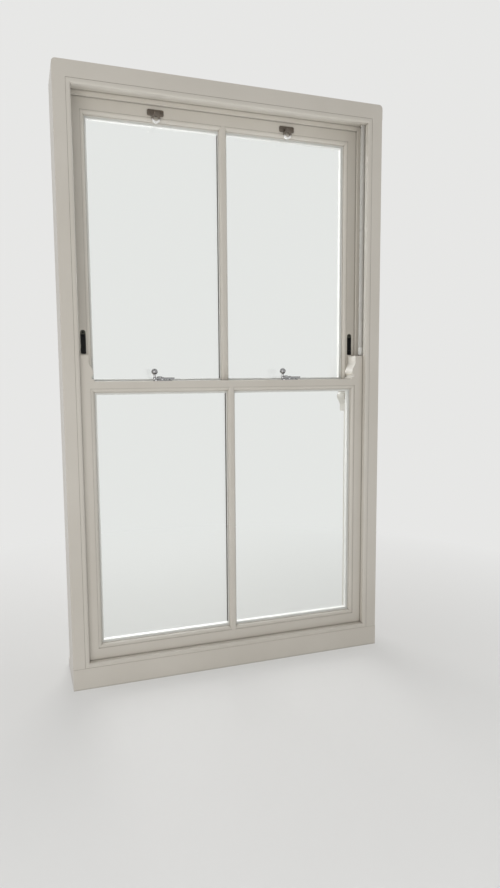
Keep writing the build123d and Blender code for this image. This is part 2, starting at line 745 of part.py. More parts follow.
save(glass_unit(LOWER_Y, LOWER_SIGHT_Z, LOWER_QUIRK_Z), "lower_glass")
save(glass_unit(UPPER_Y, LEDGE_Z, UPPER_QUIRK_Z), "upper_glass")
save(spacer_frame(LOWER_Y, LOWER_SIGHT_Z, LOWER_QUIRK_Z), "lower_spacer")
save(spacer_frame(UPPER_Y, LEDGE_Z, UPPER_QUIRK_Z), "upper_spacer")
save(group(*lower_beads.values()), "lower_glazing_beads")
save(group(*upper_beads.values()), "upper_glazing_beads")

lower_inner_bar = bar(inner_bar_section, LOWER_Y, LOWER_SIGHT_Z, LOWER_QUIRK_Z)
upper_inner_bar = bar(inner_bar_section, UPPER_Y, MEETING_TOP_Z, UPPER_QUIRK_Z)
lower_outer_bar = bar(outer_bar_section, LOWER_Y, LOWER_SIGHT_Z, LOWER_QUIRK_Z)
upper_outer_bar = bar(outer_bar_section, UPPER_Y, LEDGE_Z, UPPER_QUIRK_Z)
save(without(lower_inner_bar, lower_trim["head"], lower_trim["bottom"]), "lower_glazing_bar")
save(without(upper_inner_bar, upper_trim_head), "upper_glazing_bar")
save(without(lower_outer_bar, lower_beads["head"], lower_beads["bottom"]), "lower_outer_bar")
save(without(upper_outer_bar, upper_beads["head"], upper_beads["bottom"]), "upper_outer_bar")


# Balances
def phase(z):
    """A strip's turn at a height, in degrees: every rod and bush is cut from one helix."""
    return 360 * z / ROD_PITCH


def twisted(width, thickness, place, length):
    """A flat strip that rises from a place, ruled between sections of the helix that all rods share."""
    count = ceil(length * ROD_STEPS / ROD_PITCH)
    with BuildPart() as piece:
        for step in range(count + 1):
            rise = length * step / count
            section = Plane(origin=place + UP * rise, z_dir=UP).rotated((0, 0, phase(place.Z + rise)))
            with BuildSketch(section):
                Rectangle(width, thickness)
        loft(ruled=True)
    return piece.part


for side, word in ((-1, "left"), (1, "right")):
    for sash, balance_y, foot_z, rod_top_z in (
        ("lower", LOWER_BALANCE_Y, LOWER_FOOT_Z, LOWER_ROD_TOP_Z),
        ("upper", UPPER_BALANCE_Y, UPPER_FOOT_Z, UPPER_ROD_TOP_Z),
    ):
        with BuildPart() as tube:
            with BuildSketch(Plane(origin=(side * TUBE_X, balance_y, TUBE_FOOT_Z))):
                Circle(TUBE_DIAMETER / 2)
            extrude(amount=TUBE_LENGTH)
            with BuildSketch(Plane(origin=(side * TUBE_X, balance_y, TUBE_FOOT_Z))):
                Circle(TUBE_BORE)
            extrude(amount=TUBE_LENGTH - TUBE_PLUG, mode=Mode.SUBTRACT)
        save(tube, f"balance_tube_{sash}_{word}")

        # The foot is an angle plate in the stile's groove, and the strip is riveted into its leaf
        with BuildPart() as rod:
            rod_foot = Vector(side * TUBE_X, balance_y, foot_z)
            add(twisted(ROD_WIDTH, ROD_THICKNESS, rod_foot, rod_top_z - foot_z))
            leaf_length = SASH_X - GROOVE_FLOOR_X - FOOT_THICKNESS
            with BuildSketch(Plane.XY.offset(foot_z)):
                with Locations((side * (GROOVE_FLOOR_X + leaf_length / 2), balance_y)):
                    Rectangle(leaf_length, FOOT_WIDTH)
            extrude(amount=FOOT_THICKNESS)
            with BuildSketch(Plane.XY.offset(foot_z)):
                with Locations((side * (GROOVE_FLOOR_X + FOOT_THICKNESS / 2), balance_y)):
                    Rectangle(FOOT_THICKNESS, FOOT_WIDTH)
            extrude(amount=FOOT_LENGTH)
        save(rod, f"balance_rod_{sash}_{word}")

        # The bush turns in the tube's foot as the rod slides through its slot
        bush_foot = Vector(side * TUBE_X, balance_y, BUSH_FOOT_Z)
        bush_height = BUSH_LENGTH + BUSH_END_GAP + BUSH_SPIGOT
        with BuildPart() as bush:
            with BuildSketch(Plane(origin=bush_foot)):
                Circle(TUBE_DIAMETER / 2)
            extrude(amount=BUSH_LENGTH)
            chamfer(bush.edges().group_by(Axis.Z)[0], BUSH_CHAMFER)
            with BuildSketch(Plane(origin=bush_foot)):
                Circle(TUBE_BORE - BUSH_FIT)
            extrude(amount=bush_height)
            slot_width = ROD_WIDTH + 2 * BUSH_SLOT_CLEARANCE
            slot_thickness = ROD_THICKNESS + 2 * BUSH_SLOT_CLEARANCE
            add(twisted(slot_width, slot_thickness, bush_foot, bush_height), mode=Mode.SUBTRACT)
        save(bush, f"balance_bush_{sash}_{word}")

# Fasteners: a base with its rivet, and an arm with a ball knob that swings over the keep
ARM_Z = MEETING_TOP_Z + FASTENER_PLATE + FASTENER_BOSS_HEIGHT + ARM_LIFT
PIVOT_Y = LOWER_Y + FASTENER_SET_BACK
KEEP_Y = splay_y(MEETING_TOP_Z) + MEETING_GAP / 2 + KEEP_SET_BACK


def fastener_base(x):
    top_z = MEETING_TOP_Z + FASTENER_PLATE
    with BuildPart() as piece:
        with BuildSketch(Plane(origin=(x, PIVOT_Y, MEETING_TOP_Z))):
            SlotOverall(FASTENER_LENGTH, FASTENER_WIDTH)
        extrude(amount=FASTENER_PLATE)
        chamfer(piece.edges().group_by(Axis.Z)[-1], FASTENER_PLATE / 4)
        with BuildSketch(Plane(origin=(x, PIVOT_Y, top_z))):
            Circle(ARM_HUB_RADIUS)
        extrude(amount=FASTENER_BOSS_HEIGHT)
        with BuildSketch(Plane(origin=(x, PIVOT_Y, top_z))):
            Circle(FASTENER_PIN_RADIUS)
        rivet = FASTENER_BOSS_HEIGHT + 2 * ARM_LIFT + ARM_THICKNESS
        extrude(amount=rivet)
        with BuildSketch(Plane(origin=(x, PIVOT_Y, top_z + rivet))):
            Circle(FASTENER_PIN_RADIUS * 1.6)
        extrude(amount=FASTENER_PIN_RADIUS / 2, taper=35)
    return piece.part


def fastener_arm(x):
    knob_z = MEETING_TOP_Z + KNOB_HEIGHT
    with BuildPart() as piece:
        with BuildSketch(Plane(origin=(x, PIVOT_Y, ARM_Z))):
            with BuildLine():
                CenterArc((0, 0), ARM_HUB_RADIUS, 0, 360)
                CenterArc((-KNOB_OFFSET, 0), KNOB_FOOT_RADIUS, 0, 360)
                CenterArc((ARM_NOSE_LENGTH, 0), ARM_NOSE_RADIUS, 0, 360)
            make_hull()
        extrude(amount=ARM_THICKNESS)
        chamfer(piece.edges().group_by(Axis.Z)[-1], ARM_THICKNESS / 6)
        with BuildSketch(Plane(origin=(x, PIVOT_Y, ARM_Z))):
            Circle(FASTENER_PIN_RADIUS + PIN_CLEARANCE)
        extrude(amount=ARM_THICKNESS, mode=Mode.SUBTRACT)
        stem_plane = Plane(origin=(x - KNOB_OFFSET, PIVOT_Y, ARM_Z), x_dir=RIGHT, z_dir=-OUTWARD)
        with BuildSketch(stem_plane):
            outline(
                (0, ARM_THICKNESS / 2),
                (KNOB_FOOT_RADIUS - 1, ARM_THICKNESS / 2),
                (KNOB_FOOT_RADIUS - 1, ARM_THICKNESS),
                (KNOB_STEM_RADIUS, ARM_THICKNESS + KNOB_STEM_RADIUS / 2),
                (KNOB_STEM_RADIUS, knob_z - ARM_Z),
                (0, knob_z - ARM_Z),
            )
        revolve(axis=Axis((x - KNOB_OFFSET, PIVOT_Y, 0), (0, 0, 1)))
        with Locations((x - KNOB_OFFSET, PIVOT_Y, knob_z)):
            Sphere(KNOB_RADIUS)
    return piece


def fastener_keep(x):
    """A hook that is open on the side from which the arm's nose comes."""
    wall_x = x - ARM_HUB_RADIUS - KEEP_WALL
    lip_z = ARM_Z + ARM_THICKNESS + KEEP_CLEARANCE
    with BuildPart() as piece:
        with BuildSketch(Plane(origin=(0, KEEP_Y, 0), x_dir=RIGHT, z_dir=-OUTWARD)):
            outline(
                (wall_x, MEETING_TOP_Z),
                (x + KEEP_TAIL, MEETING_TOP_Z),
                (x + KEEP_TAIL, MEETING_TOP_Z + KEEP_PLATE),
                (wall_x + KEEP_WALL, MEETING_TOP_Z + KEEP_PLATE),
                (wall_x + KEEP_WALL, lip_z),
                (x + ARM_NOSE_RADIUS, lip_z),
                (x + ARM_NOSE_RADIUS, lip_z + KEEP_WALL),
                (wall_x, lip_z + KEEP_WALL),
            )
        extrude(amount=-KEEP_DEPTH)
        crown = piece.edges().filter_by(Axis.Y).group_by(Axis.Z)[-1]
        fillet(crown, KEEP_WALL / 2)
    return piece.part


save(group(fastener_base(-FITTING_X), fastener_base(FITTING_X)), "fastener_bases")
save(group(fastener_keep(-FITTING_X), fastener_keep(FITTING_X)), "fastener_keeps")
save(fastener_arm(-FITTING_X), "fastener_arm_left")
save(fastener_arm(FITTING_X), "fastener_arm_right")


# Pole eyes
def pole_eye(x):
    ring_back = UPPER_Y - EYE_STAND_OFF
    with BuildPart() as piece:
        with BuildSketch(Plane(origin=(x, UPPER_Y, EYE_PLATE_Z), x_dir=RIGHT, z_dir=-OUTWARD)):
            RectangleRounded(EYE_PLATE_LENGTH, EYE_PLATE_HEIGHT, EYE_PLATE_HEIGHT / 4)
        extrude(amount=EYE_PLATE_THICKNESS)
        with BuildSketch(Plane(origin=(x, UPPER_Y, EYE_PLATE_Z), x_dir=RIGHT, z_dir=-OUTWARD)):
            with Locations((0, -EYE_PLATE_HEIGHT / 4)):
                Rectangle(EYE_HOLE_RADIUS * 2, EYE_PLATE_HEIGHT / 2)
        extrude(amount=EYE_STAND_OFF + EYE_RING_THICKNESS)
        ring_plane = Plane(origin=(x, ring_back, EYE_PLATE_Z - EYE_DROP), x_dir=RIGHT, z_dir=-OUTWARD)
        with BuildSketch(ring_plane):
            Circle(EYE_RING_RADIUS)
        extrude(amount=EYE_RING_THICKNESS)
        with BuildSketch(ring_plane):
            Circle(EYE_HOLE_RADIUS)
        extrude(amount=EYE_RING_THICKNESS, mode=Mode.SUBTRACT)
        rims = piece.edges().filter_by(GeomType.CIRCLE).group_by(Axis.Y)[0]
        fillet(rims.filter_by(lambda e: e.radius < EYE_RING_RADIUS - 1), EYE_RING_THICKNESS / 6)
    return piece.part


save(group(pole_eye(-FITTING_X), pole_eye(FITTING_X)), "pole_eyes")

# Travel restrictors: a case let into each upper stile, with a tongue that tips out over the lower sash
PIVOT_DROP = RESTRICTOR_WALL + TONGUE_PIVOT_DEPTH + TONGUE_CLEARANCE
TONGUE_PIVOT_Z = RESTRICTOR_Z + RESTRICTOR_BOX_HEIGHT / 2 - PIVOT_DROP
POCKET_WIDTH = RESTRICTOR_BOX_WIDTH - 2 * RESTRICTOR_WALL


def restrictor_case():
    with BuildPart() as piece:
        add(restrictor_body())
        with BuildSketch(Plane(origin=(RESTRICTOR_X, UPPER_Y, RESTRICTOR_Z), x_dir=RIGHT, z_dir=-OUTWARD)):
            Rectangle(POCKET_WIDTH, RESTRICTOR_BOX_HEIGHT - 2 * RESTRICTOR_WALL)
        extrude(amount=-RESTRICTOR_BOX_DEPTH + RESTRICTOR_WALL, mode=Mode.SUBTRACT)
        pin_x = RESTRICTOR_X - RESTRICTOR_BOX_WIDTH / 2
        with BuildSketch(Plane.YZ.offset(pin_x)):
            with Locations((UPPER_Y + TONGUE_PIVOT_DEPTH, TONGUE_PIVOT_Z)):
                Circle(TONGUE_PIN_RADIUS)
        extrude(amount=RESTRICTOR_BOX_WIDTH)
    return piece.part


save(group(restrictor_case(), restrictor_case().mirror(Plane.YZ)), "restrictor_cases")

with BuildPart() as restrictor_tongue:
    tongue_width = POCKET_WIDTH - 2 * TONGUE_CLEARANCE
    with BuildSketch(Plane.YZ.offset(RESTRICTOR_X - tongue_width / 2)):
        pivot = (UPPER_Y + TONGUE_PIVOT_DEPTH, TONGUE_PIVOT_Z)
        with Locations(pivot):
            Circle(TONGUE_PIVOT_DEPTH)
        with Locations((UPPER_Y + TONGUE_THICKNESS / 2, TONGUE_PIVOT_Z)):
            Rectangle(TONGUE_THICKNESS, TONGUE_LENGTH, align=(Align.CENTER, Align.MAX))
        with Locations(pivot):
            Circle(TONGUE_PIN_RADIUS + PIN_CLEARANCE, mode=Mode.SUBTRACT)
    extrude(amount=tongue_width)
save_pair(restrictor_tongue, "restrictor_tongue")
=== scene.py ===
from math import radians

import bmesh
import bpy
from mathutils import Matrix, Vector


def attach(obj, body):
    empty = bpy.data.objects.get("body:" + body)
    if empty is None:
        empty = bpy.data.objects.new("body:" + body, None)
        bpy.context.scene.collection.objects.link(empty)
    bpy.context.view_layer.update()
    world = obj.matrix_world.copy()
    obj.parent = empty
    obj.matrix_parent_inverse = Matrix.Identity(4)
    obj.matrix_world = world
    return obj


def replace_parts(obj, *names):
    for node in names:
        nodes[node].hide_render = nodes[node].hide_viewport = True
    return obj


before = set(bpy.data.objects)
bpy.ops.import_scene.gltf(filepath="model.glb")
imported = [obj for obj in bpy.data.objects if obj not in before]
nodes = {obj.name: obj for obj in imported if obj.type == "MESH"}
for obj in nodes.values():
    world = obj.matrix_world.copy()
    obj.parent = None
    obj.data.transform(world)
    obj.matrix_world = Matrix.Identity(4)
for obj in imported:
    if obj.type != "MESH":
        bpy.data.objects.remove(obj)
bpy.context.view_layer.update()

# Distances under which points count as one, and under which a cut counts as on a point
SAME_SPOT = 1e-6
ON_CUT = 1e-7


def bounds_of(name):
    """Least and greatest corner of a CAD node, in the row frame."""
    node = nodes[name]
    corners = [node.matrix_world @ vertex.co for vertex in node.data.vertices]
    low = Vector([min(corner[axis] for corner in corners) for axis in range(3)])
    high = Vector([max(corner[axis] for corner in corners) for axis in range(3)])
    return low, high


# Finishes, in linear colour
WHITE_PAINT = (0.70, 0.668, 0.61)
WHITE_PAINT_SHADE = (0.655, 0.622, 0.563)
# Painted shade, laid into the paint's corners and the joints between parts
CORNER_SHADE = (0.30, 0.275, 0.235)
GLASS_CLEAR = (0.985, 0.996, 0.99)
SPACER_WHITE = (0.80, 0.795, 0.77)
TUBE_WHITE = (0.62, 0.61, 0.58)
NYLON_WHITE = (0.86, 0.86, 0.84)
SEALANT_WHITE = (0.72, 0.71, 0.67)
CHROME = (0.38, 0.38, 0.39)
AGED_NICKEL = (0.215, 0.188, 0.162)
# Painted highlight on the lower part of the pole eyes
NICKEL_HIGHLIGHT = (0.86, 0.85, 0.83)
SCREW_STEEL = (0.50, 0.50, 0.51)
STEEL = (0.46, 0.455, 0.45)
STEEL_SHADE = (0.36, 0.355, 0.35)
# A lighter tone for the top of the restrictors' cases
LIGHTER_COAT = (0.10, 0.10, 0.08)
BLACK = (0.004, 0.004, 0.0045)
PILE_GREY = (0.16, 0.16, 0.165)
FLOOR_PALE = (0.64, 0.63, 0.61)
BACKDROP_PALE = (0.80, 0.80, 0.79)

# How finishes vary over a piece
# Reach of the painted shade in corners, and the shares of open surroundings between which it grows
CORNER_SHADE_REACH = 0.006
OPEN_SHARE = 0.9
SHUT_SHARE = 0.3
CORNER_SAMPLES = 6
NOISE_LOW = 0.3
NOISE_HIGH = 0.7
PLASTIC_SHADE = 0.93
PLATE_SHADE = 0.9
COAT_SHADE = 1.4
FLOOR_SHADE = 0.97
# How far the pole eyes' painted highlight and the cases' lighter top are smeared
EYE_HIGHLIGHT_SMEAR = 0.003
CASE_TONE_SMEAR = 0.002
CASE_TONE_FADE = 0.002
ALONG_UPRIGHT = (1.0, 1.0, 0.035)
ALONG_LEVEL = (0.035, 1.0, 1.0)
POLISHED_ACROSS = (1.0, 0.2, 1.0)
POLISHED_DOWN = (1.0, 1.0, 0.3)
ROLLED_DOWN = (1.0, 1.0, 0.05)


class Finish:
    """A material on the way: its Principled shader, and short ways to add nodes to it."""

    def __init__(self, name, color, roughness, metallic=0.0):
        self.material = bpy.data.materials.new(name)
        self.material.use_nodes = True
        self.tree = self.material.node_tree
        self.shader = self.tree.nodes["Principled BSDF"]
        self.shader.inputs["Base Color"].default_value = (*color, 1.0)
        self.shader.inputs["Roughness"].default_value = roughness
        self.shader.inputs["Metallic"].default_value = metallic

    def node(self, kind, **values):
        made = self.tree.nodes.new(kind)
        for key, value in values.items():
            setattr(made, key, value)
        return made

    def join(self, source, target):
        self.tree.links.new(source, target)

    def place(self, stretch=(1.0, 1.0, 1.0)):
        """Object coordinates, stretched."""
        where = self.node("ShaderNodeTexCoord")
        mapping = self.node("ShaderNodeMapping")
        mapping.inputs["Scale"].default_value = stretch
        self.join(where.outputs["Object"], mapping.inputs["Vector"])
        return mapping.outputs["Vector"]

    def noise(self, scale, detail=2.0, stretch=(1.0, 1.0, 1.0), rough=0.5):
        made = self.node("ShaderNodeTexNoise")
        made.inputs["Scale"].default_value = scale
        made.inputs["Detail"].default_value = detail
        made.inputs["Roughness"].default_value = rough
        self.join(self.place(stretch), made.inputs["Vector"])
        return made.outputs["Fac"]

    def band(self, value, low, high, to_low, to_high):
        """A value carried from one range to another."""
        made = self.node("ShaderNodeMapRange")
        limits = {"From Min": low, "From Max": high, "To Min": to_low, "To Max": to_high}
        for key, number in limits.items():
            made.inputs[key].default_value = number
        self.join(value, made.inputs["Value"])
        return made.outputs["Result"]

    def tint(self, value, color_a, color_b, under=None):
        """Base colour between two tones, the first of which may be a colour from before."""
        mix = self.node("ShaderNodeMix", data_type="RGBA")
        mix.inputs[6].default_value = (*color_a, 1.0)
        mix.inputs[7].default_value = (*color_b, 1.0)
        if under is not None:
            self.join(under, mix.inputs[6])
        self.join(value, mix.inputs["Factor"])
        self.join(mix.outputs[2], self.shader.inputs["Base Color"])
        return mix.outputs[2]

    def corners(self, reach):
        """How far a spot is shut in by what stands within a reach: 0 in the open, 1 deep in a corner."""
        shut = self.node("ShaderNodeAmbientOcclusion", samples=CORNER_SAMPLES)
        shut.inputs["Distance"].default_value = reach
        return self.band(shut.outputs["AO"], OPEN_SHARE, SHUT_SHARE, 0.0, 1.0)

    def height(self, smear):
        """Height above the floor, smeared by a length."""
        split = self.node("ShaderNodeSeparateXYZ")
        self.join(self.place(), split.inputs["Vector"])
        smeared = self.node("ShaderNodeMath", operation="MULTIPLY_ADD")
        smeared.inputs[1].default_value = smear
        self.join(self.noise(scale=260.0, detail=3.0), smeared.inputs[0])
        self.join(split.outputs["Z"], smeared.inputs[2])
        return smeared.outputs["Value"]

    def roughen(self, value, low, high):
        self.join(self.band(value, NOISE_LOW, NOISE_HIGH, low, high), self.shader.inputs["Roughness"])

    def bump(self, value, distance, strength=1.0, under=None):
        made = self.node("ShaderNodeBump")
        made.inputs["Strength"].default_value = strength
        made.inputs["Distance"].default_value = distance
        self.join(value, made.inputs["Height"])
        if under is not None:
            self.join(under, made.inputs["Normal"])
        self.join(made.outputs["Normal"], self.shader.inputs["Normal"])
        return made.outputs["Normal"]

    def surface(self, when, shader):
        """Shows another shader in place of the Principled one as far as a value says."""
        mix = self.node("ShaderNodeMixShader")
        self.join(when, mix.inputs["Fac"])
        self.join(self.shader.outputs["BSDF"], mix.inputs[1])
        self.join(shader, mix.inputs[2])
        self.join(mix.outputs["Shader"], self.tree.nodes["Material Output"].inputs["Surface"])


def shaded_by(color, share):
    return tuple(share * part for part in color)


def painted_timber(name, stretch):
    """White satin paint, brushed along the timber, with painted shade in its corners, and a trace of
    grain.
    """
    finish = Finish(name, WHITE_PAINT, roughness=0.38)
    tone = finish.noise(scale=3.0, detail=4.0)
    shaded = finish.band(tone, low=0.35, high=0.65, to_low=0.0, to_high=1.0)
    paint = finish.tint(shaded, WHITE_PAINT, WHITE_PAINT_SHADE)
    # Painted shade: the paint darkens towards corners and joints, where shade falls
    finish.tint(finish.corners(CORNER_SHADE_REACH), WHITE_PAINT, CORNER_SHADE, paint)
    finish.roughen(finish.noise(scale=14.0, detail=3.0, stretch=stretch), low=0.30, high=0.46)
    fibres = finish.noise(scale=60.0, detail=5.0, stretch=stretch, rough=0.6)
    grain = finish.bump(fibres, distance=0.0004, strength=0.25)
    brush_marks = finish.noise(scale=420.0, detail=2.0, stretch=stretch)
    finish.bump(brush_marks, distance=0.00012, strength=0.35, under=grain)
    finish.shader.inputs["Coat Weight"].default_value = 0.12
    finish.shader.inputs["Coat Roughness"].default_value = 0.18
    return finish.material


def clear_glass():
    finish = Finish("clear_glass", GLASS_CLEAR, roughness=0.0)
    finish.shader.inputs["Transmission Weight"].default_value = 1.0
    finish.shader.inputs["IOR"].default_value = 1.46
    finish.bump(finish.noise(scale=1.6, detail=1.0), distance=0.0006, strength=0.15)
    light = finish.node("ShaderNodeLightPath")
    clear = finish.node("ShaderNodeBsdfTransparent")
    finish.surface(light.outputs["Is Shadow Ray"], clear.outputs["BSDF"])
    return finish.material


def moulded(name, color, rough, grain=900.0):
    """Moulded plastic with a fine tooled skin."""
    finish = Finish(name, color, rough)
    finish.tint(finish.noise(scale=9.0, detail=3.0), color, shaded_by(color, PLASTIC_SHADE))
    finish.roughen(finish.noise(scale=40.0, detail=2.0), low=rough - 0.05, high=rough + 0.07)
    finish.bump(finish.noise(scale=grain, detail=2.0), distance=0.00006, strength=0.3)
    return finish.material


def plated(name, color, rough):
    """Bright plate with the faint marks of polishing."""
    finish = Finish(name, color, rough, metallic=1.0)
    finish.tint(finish.noise(scale=30.0, detail=3.0), color, shaded_by(color, PLATE_SHADE))
    dulled = finish.noise(scale=260.0, detail=3.0, stretch=POLISHED_DOWN)
    finish.roughen(dulled, low=rough * 0.6, high=rough * 1.6)
    marks = finish.noise(scale=700.0, detail=2.0, stretch=POLISHED_ACROSS)
    finish.bump(marks, distance=0.00004, strength=0.2)
    return finish.material


def eye_nickel(low, high):
    """Old nickel plate, with a painted highlight on it from one height down to another."""
    finish = Finish("aged_nickel_painted_highlight", AGED_NICKEL, roughness=0.3, metallic=1.0)
    # Painted highlight: the eyes are made bright and glossier below a height
    lightened = finish.band(finish.height(EYE_HIGHLIGHT_SMEAR), high, low, to_low=0.0, to_high=1.0)
    finish.tint(lightened, AGED_NICKEL, NICKEL_HIGHLIGHT)
    roughness = finish.band(lightened, low=0.0, high=1.0, to_low=0.36, to_high=0.2)
    finish.join(roughness, finish.shader.inputs["Roughness"])
    marks = finish.noise(scale=700.0, detail=2.0, stretch=POLISHED_ACROSS)
    finish.bump(marks, distance=0.00004, strength=0.25)
    return finish.material


def rolled_steel():
    finish = Finish("rolled_steel", STEEL, roughness=0.34, metallic=1.0)
    finish.tint(finish.noise(scale=45.0, detail=4.0), STEEL, STEEL_SHADE)
    finish.roughen(finish.noise(scale=120.0, detail=3.0, stretch=ROLLED_DOWN), low=0.26, high=0.44)
    marks = finish.noise(scale=500.0, detail=2.0, stretch=ROLLED_DOWN)
    finish.bump(marks, distance=0.00005, strength=0.3)
    return finish.material


def coated(name, color, gloss, lighter_above=None):
    """Powder coat on metal, with its fine orange peel, and lighter above a height."""
    finish = Finish(name, color, roughness=0.46)
    coat = finish.tint(finish.noise(scale=20.0, detail=3.0), color, shaded_by(color, COAT_SHADE))
    # The coat is lighter towards its top, above a height
    if lighter_above is not None:
        full = lighter_above + CASE_TONE_FADE
        lightened = finish.band(finish.height(CASE_TONE_SMEAR), lighter_above, full, to_low=0.0, to_high=1.0)
        finish.tint(lightened, color, LIGHTER_COAT, coat)
    finish.roughen(finish.noise(scale=90.0, detail=2.0), low=0.4, high=0.56)
    finish.shader.inputs["Specular IOR Level"].default_value = gloss
    finish.bump(finish.noise(scale=1400.0, detail=2.0), distance=0.00008, strength=0.5)
    return finish.material


# Heights over the eyes' foot between which their painted highlight fades in, and how far
# down from the top the restrictors' cases are lighter
EYE_BRIGHT_TO = 0.009
EYE_AGED_FROM = 0.015
CASE_LIGHTER_DROP = 0.0125
eyes_low, eyes_high = bounds_of("pole_eyes")
case_low, case_high = bounds_of("restrictor_cases")

paint_upright = painted_timber("painted_timber_upright", ALONG_UPRIGHT)
paint_level = painted_timber("painted_timber_level", ALONG_LEVEL)
glass = clear_glass()
spacer_white = moulded("spacer_white", SPACER_WHITE, rough=0.45)
tube_white = moulded("balance_tube_white", TUBE_WHITE, rough=0.3)
nylon = moulded("nylon", NYLON_WHITE, rough=0.4)
sealant = moulded("white_sealant", SEALANT_WHITE, rough=0.5, grain=300.0)
chrome = plated("polished_chrome", CHROME, rough=0.09)
nickel = eye_nickel(eyes_low.z + EYE_BRIGHT_TO, eyes_low.z + EYE_AGED_FROM)
screw_steel = plated("screw_steel", SCREW_STEEL, rough=0.22)
steel = rolled_steel()
black = coated("black_coat", BLACK, gloss=0.2)
case_black = coated("case_black_coat", BLACK, gloss=0.25, lighter_above=case_high.z - CASE_LIGHTER_DROP)
pile = moulded("draught_pile", PILE_GREY, rough=0.85, grain=2600.0)

LEVEL = ("sill", "head", "bottom_board", "outer_lining_head", "staff_bead_head",
         "staff_bead_bottom", "parting_bead_head", "lower_bottom_rail", "lower_meeting_rail",
         "upper_top_rail", "upper_meeting_rail")


def finish_of(name):
    if name.endswith("_glass"):
        return glass
    if name.endswith("_spacer"):
        return spacer_white
    if name.startswith("balance_tube"):
        return tube_white
    if name.startswith("balance_bush"):
        return nylon
    if name.startswith("balance_rod"):
        return steel
    if name == "pole_eyes":
        return nickel
    if name.startswith("fastener"):
        return chrome
    if name == "restrictor_cases":
        return case_black
    if name.startswith("restrictor"):
        return black
    return paint_level if name in LEVEL else paint_upright


for name, node in nodes.items():
    node.data.materials.clear()
    node.data.materials.append(finish_of(name))


def finished(bm, name, body, material):
    """A new piece from its mesh, riding on a body."""
    bmesh.ops.remove_doubles(bm, verts=bm.verts, dist=SAME_SPOT)
    bmesh.ops.recalc_face_normals(bm, faces=bm.faces)
    mesh = bpy.data.meshes.new(name)
    bm.to_mesh(mesh)
    bm.free()
    piece = bpy.data.objects.new(name, mesh)
    bpy.context.scene.collection.objects.link(piece)
    mesh.materials.append(material)
    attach(piece, body)
    return piece


# Screw heads: pan heads with a cross recess, turned by angles in degrees
SCREW_HEAD = 0.0031
SCREW_TOP = 0.0024
SCREW_RISE = 0.0012
SCREW_ROUNDING = 0.0005
RECESS_REACH = 0.0016
RECESS_ARM = 0.0004
RECESS_DEPTH = 0.0009
RECESS_TAPER = 0.75
HEAD_FACETS = 28
FIRST_TURN = 12.0
NEXT_TURN = 37.0
NEARLY_FLAT = radians(0.5)


def screw_head():
    """One head, standing on the origin and facing up."""
    bm = bmesh.new()
    bmesh.ops.create_cone(bm, cap_ends=True, segments=HEAD_FACETS, radius1=SCREW_HEAD,
                          radius2=SCREW_TOP, depth=SCREW_RISE,
                          matrix=Matrix.Translation((0.0, 0.0, SCREW_RISE / 2)))

    def on_top(item):
        return all(abs(vertex.co.z - SCREW_RISE) < SAME_SPOT for vertex in item.verts)

    bmesh.ops.bevel(bm, geom=[edge for edge in bm.edges if on_top(edge)], offset=SCREW_ROUNDING,
                    offset_type="OFFSET", segments=3, profile=0.5, affect="EDGES", material=-1)
    for across in (Vector((1.0, 0.0, 0.0)), Vector((0.0, 1.0, 0.0))):
        for offset in (-RECESS_REACH, -RECESS_ARM, RECESS_ARM, RECESS_REACH):
            top = [face for face in bm.faces if on_top(face)]
            edges = {edge for face in top for edge in face.edges}
            verts = {vertex for face in top for vertex in face.verts}
            bmesh.ops.bisect_plane(bm, geom=[*top, *edges, *verts], dist=ON_CUT,
                                   plane_co=across * offset, plane_no=across)

    def in_cross(face):
        middle = face.calc_center_median()
        near, far = sorted((abs(middle.x), abs(middle.y)))
        return on_top(face) and near < RECESS_ARM and far < RECESS_REACH

    cross = [face for face in bm.faces if in_cross(face)]
    sunk = bmesh.ops.extrude_face_region(bm, geom=cross)["geom"]
    bmesh.ops.delete(bm, geom=cross, context="FACES")
    floor_of_recess = [item for item in sunk if isinstance(item, bmesh.types.BMVert)]
    bmesh.ops.translate(bm, verts=floor_of_recess, vec=(0.0, 0.0, -RECESS_DEPTH))
    bmesh.ops.scale(bm, verts=floor_of_recess, vec=(RECESS_TAPER, RECESS_TAPER, 1.0))
    bmesh.ops.dissolve_limit(bm, angle_limit=NEARLY_FLAT, verts=bm.verts, edges=bm.edges)
    head = bpy.data.meshes.new("screw_head")
    bm.to_mesh(head)
    bm.free()
    return head


def screws(name, body, seats, material):
    """The screws of one kind of fitting, each turned as it happened to end."""
    bm = bmesh.new()
    for count, (place, facing) in enumerate(seats):
        stand = Matrix.Translation(place) @ Vector(facing).to_track_quat("Z", "Y").to_matrix().to_4x4()
        head = screw_head()
        head.transform(stand @ Matrix.Rotation(radians(NEXT_TURN * count + FIRST_TURN), 4, "Z"))
        bm.from_mesh(head)
        bpy.data.meshes.remove(head)
    finished(bm, name, body, material)


def pair(seats):
    """Seats on the right and their mirror images on the left."""
    both = []
    for (x, y, z), (nx, ny, nz) in seats:
        both += [((x, y, z), (nx, ny, nz)), ((-x, y, z), (-nx, ny, nz))]
    return both


TO_ROOM = (0.0, -1.0, 0.0)
UP = (0.0, 0.0, 1.0)
INWARD = (-1.0, 0.0, 0.0)

EYE_SCREW_SPACING = 0.036
EYE_PLATE_LENGTH = 0.050
EYE_PLATE_HEIGHT = 0.018
EYE_PLATE_THICKNESS = 0.0025
eye_x = eyes_high.x - EYE_PLATE_LENGTH / 2
eye_z = eyes_high.z - EYE_PLATE_HEIGHT / 2
eye_y = eyes_high.y - EYE_PLATE_THICKNESS
screws("pole_eye_screws", "upper_sash",
       pair([((eye_x + way * EYE_SCREW_SPACING / 2, eye_y, eye_z), TO_ROOM) for way in (-1, 1)]),
       nickel)

